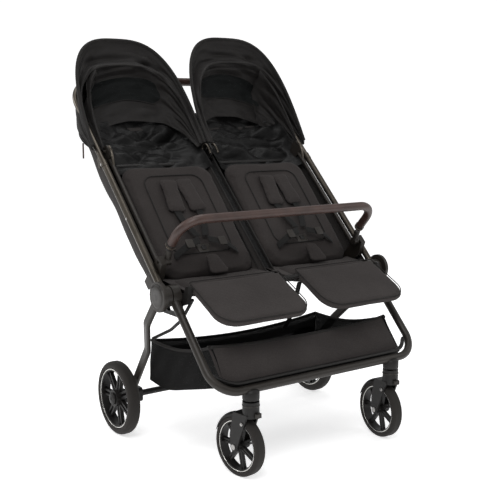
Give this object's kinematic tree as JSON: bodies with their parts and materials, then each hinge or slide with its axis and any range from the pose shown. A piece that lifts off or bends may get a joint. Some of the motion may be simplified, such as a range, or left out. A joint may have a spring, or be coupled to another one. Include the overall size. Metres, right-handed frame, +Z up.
{
  "type": "twin side-by-side stroller",
  "caption": "Compact twin side-by-side folding stroller with swivelling front casters, hooded canopies, a bumper bar, footrests and an under-seat basket.",
  "frame": {"origin": "on the floor, on the symmetry plane, straight under the rear axle", "axes": "+Z up, -Y to the front where the footrests are, +X to the right seen from the front"},
  "size_m": [0.786, 0.8714, 1.1747],
  "materials": {
    "frame": "satin bronze-grey powder coat",
    "plastic": "fine matte black",
    "steel": "plain zinc-bright",
    "leather": "smooth brown leatherette with stitched seam",
    "fabric": "warm charcoal woven polyester",
    "tyre": "smooth solid foam rubber"
  },
  "bodies": {
    "front_frame": {"front_leg_frame": "frame", "front_hubs": "plastic", "caster_saddles": "plastic", "seat_tubes": "frame", "seat_brackets": "plastic", "seat_support_bars": "frame", "seat_cushion_left": "fabric", "seat_cushion_right": "fabric", "crotch_pads": "fabric", "basket": "fabric"},
    "upper_frame": {"upper_tube_left": "frame", "upper_tube_right": "frame", "upper_hubs": "plastic", "hub_pins": "steel", "handle_collars": "plastic", "seat_side_tubes": "frame", "cross_tubes": "frame", "canopy_fabric_left": "fabric", "canopy_fabric_right": "fabric"},
    "rear_frame": {"rear_leg_left": "frame", "rear_leg_right": "frame", "rear_axle_tube": "plastic", "rear_axle_rod": "steel", "brake_housings": "plastic"},
    "handle": {"handle_tube": "frame", "handle_grip": "leather"},
    "fold_button": {"fold_button": "plastic"},
    "bar": {"bumper_bar": "leather", "bar_adapters": "plastic"},
    "brake": {"brake_pedal": "plastic"},
    "brake_pin_left": {"brake_pin_left": "steel"},
    "rear_wheel_left": {"rear_tyre_left": "tyre", "rear_rim_left": "plastic"},
    "caster_left": {"caster_fork_left": "plastic", "caster_axle_left": "steel"},
    "front_wheel_left": {"front_tyre_left": "tyre", "front_rim_left": "plastic"},
    "swivel_lock_left": {"swivel_lock_left": "plastic"},
    "canopy_left": {"canopy_bow_left": "frame", "canopy_visor_left": "fabric"},
    "backrest_left": {"backrest_board_left": "plastic", "back_pad_left": "fabric", "buckle_left": "plastic"},
    "buckle_button_left": {"buckle_button_left": "plastic"},
    "footrest_left": {"footrest_left": "fabric"},
    "brake_pin_right": {"brake_pin_right": "steel"},
    "rear_wheel_right": {"rear_tyre_right": "tyre", "rear_rim_right": "plastic"},
    "caster_right": {"caster_fork_right": "plastic", "caster_axle_right": "steel"},
    "front_wheel_right": {"front_tyre_right": "tyre", "front_rim_right": "plastic"},
    "swivel_lock_right": {"swivel_lock_right": "plastic"},
    "canopy_right": {"canopy_bow_right": "frame", "canopy_visor_right": "fabric"},
    "backrest_right": {"backrest_board_right": "plastic", "back_pad_right": "fabric", "buckle_right": "plastic"},
    "buckle_button_right": {"buckle_button_right": "plastic"},
    "footrest_right": {"footrest_right": "fabric"}
  },
  "joints": [
    {"name": "frame_fold", "type": "hinge", "parent": "front_frame", "child": "upper_frame", "pos_m": [0, -0.292, 0.458], "axis": [1, 0, 0], "range_deg": [0, 143], "deforming": ["crotch_pads"]},
    {"name": "rear_fold", "type": "hinge", "parent": "front_frame", "child": "rear_frame", "pos_m": [0, -0.292, 0.458], "axis": [1, 0, 0], "range_deg": [-50.05, 0]},
    {"name": "handle_fold", "type": "hinge", "parent": "upper_frame", "child": "handle", "pos_m": [0, 0.05935, 0.77825], "axis": [1, 0, 0], "range_deg": [-154.5, 0]},
    {"name": "bar_fold", "type": "hinge", "parent": "upper_frame", "child": "bar", "pos_m": [0, -0.24279, 0.53906], "axis": [1, 0, 0], "range_deg": [-75.8, 0]},
    {"name": "fold_button_press", "type": "slide", "parent": "handle", "child": "fold_button", "axis": [0, -0.7108, -0.7034], "range_m": [0, 0.002], "stiffness_N_per_m": 300},
    {"name": "brake_pedal_press", "type": "hinge", "parent": "rear_frame", "child": "brake", "pos_m": [0, 0, 0.107], "axis": [1, 0, 0], "range_deg": [-18, 0]},
    {"name": "brake_pin_left_slide", "type": "slide", "parent": "rear_frame", "child": "brake_pin_left", "axis": [-1, 0, 0], "range_m": [0, 0.008]},
    {"name": "rear_wheel_left_spin", "type": "hinge", "parent": "rear_frame", "child": "rear_wheel_left", "pos_m": [-0.36, 0, 0.107], "axis": [1, 0, 0], "continuous": true},
    {"name": "caster_left_swivel", "type": "hinge", "parent": "front_frame", "child": "caster_left", "pos_m": [-0.244, -0.5, 0.2], "axis": [0, 0, 1], "continuous": true},
    {"name": "front_wheel_left_spin", "type": "hinge", "parent": "caster_left", "child": "front_wheel_left", "pos_m": [-0.24929, -0.46035, 0.081], "axis": [0.9912, 0.1323, 0], "continuous": true},
    {"name": "swivel_lock_left_slide", "type": "slide", "parent": "caster_left", "child": "swivel_lock_left", "axis": [0, 0, -1], "range_m": [0, 0.006]},
    {"name": "canopy_left_turn", "type": "hinge", "parent": "upper_frame", "child": "canopy_left", "pos_m": [-0.197, 0.06203, 0.81819], "axis": [1, 0, 0], "range_deg": [0, 60]},
    {"name": "backrest_left_recline", "type": "hinge", "parent": "upper_frame", "child": "backrest_left", "pos_m": [-0.17, -0.18584, 0.47583], "axis": [1, 0, 0], "range_deg": [-22, 0]},
    {"name": "buckle_button_left_press", "type": "slide", "parent": "backrest_left", "child": "buckle_button_left", "axis": [0, 0.7649, -0.6442], "range_m": [0, 0.0018], "stiffness_N_per_m": 200},
    {"name": "footrest_left_tilt", "type": "hinge", "parent": "front_frame", "child": "footrest_left", "pos_m": [-0.1695, -0.345, 0.476], "axis": [1, 0, 0], "range_deg": [-26, 20]},
    {"name": "brake_pin_right_slide", "type": "slide", "parent": "rear_frame", "child": "brake_pin_right", "axis": [1, 0, 0], "range_m": [0, 0.008]},
    {"name": "rear_wheel_right_spin", "type": "hinge", "parent": "rear_frame", "child": "rear_wheel_right", "pos_m": [0.36, 0, 0.107], "axis": [1, 0, 0], "continuous": true},
    {"name": "caster_right_swivel", "type": "hinge", "parent": "front_frame", "child": "caster_right", "pos_m": [0.244, -0.5, 0.2], "axis": [0, 0, 1], "continuous": true},
    {"name": "front_wheel_right_spin", "type": "hinge", "parent": "caster_right", "child": "front_wheel_right", "pos_m": [0.24721, -0.46013, 0.081], "axis": [0.9968, -0.0802, 0], "continuous": true},
    {"name": "swivel_lock_right_slide", "type": "slide", "parent": "caster_right", "child": "swivel_lock_right", "axis": [0, 0, -1], "range_m": [0, 0.006]},
    {"name": "canopy_right_turn", "type": "hinge", "parent": "upper_frame", "child": "canopy_right", "pos_m": [0.197, 0.06203, 0.81819], "axis": [1, 0, 0], "range_deg": [-3, 60]},
    {"name": "backrest_right_recline", "type": "hinge", "parent": "upper_frame", "child": "backrest_right", "pos_m": [0.17, -0.18584, 0.47583], "axis": [1, 0, 0], "range_deg": [-22, 0]},
    {"name": "buckle_button_right_press", "type": "slide", "parent": "backrest_right", "child": "buckle_button_right", "axis": [0, 0.7649, -0.6442], "range_m": [0, 0.0018], "stiffness_N_per_m": 200},
    {"name": "footrest_right_tilt", "type": "hinge", "parent": "front_frame", "child": "footrest_right", "pos_m": [0.1695, -0.345, 0.476], "axis": [1, 0, 0], "range_deg": [-26, 20]}
  ],
  "couplings": [
    {"joint": "rear_fold", "follows": "frame_fold", "ratio": -0.35},
    {"joint": "handle_fold", "follows": "frame_fold", "ratio": -1.08},
    {"joint": "bar_fold", "follows": "frame_fold", "ratio": -0.53},
    {"joint": "brake_pin_left_slide", "follows": "brake_pedal_press", "m_per_rad": -0.025465},
    {"joint": "brake_pin_right_slide", "follows": "brake_pedal_press", "m_per_rad": -0.025465}
  ]
}
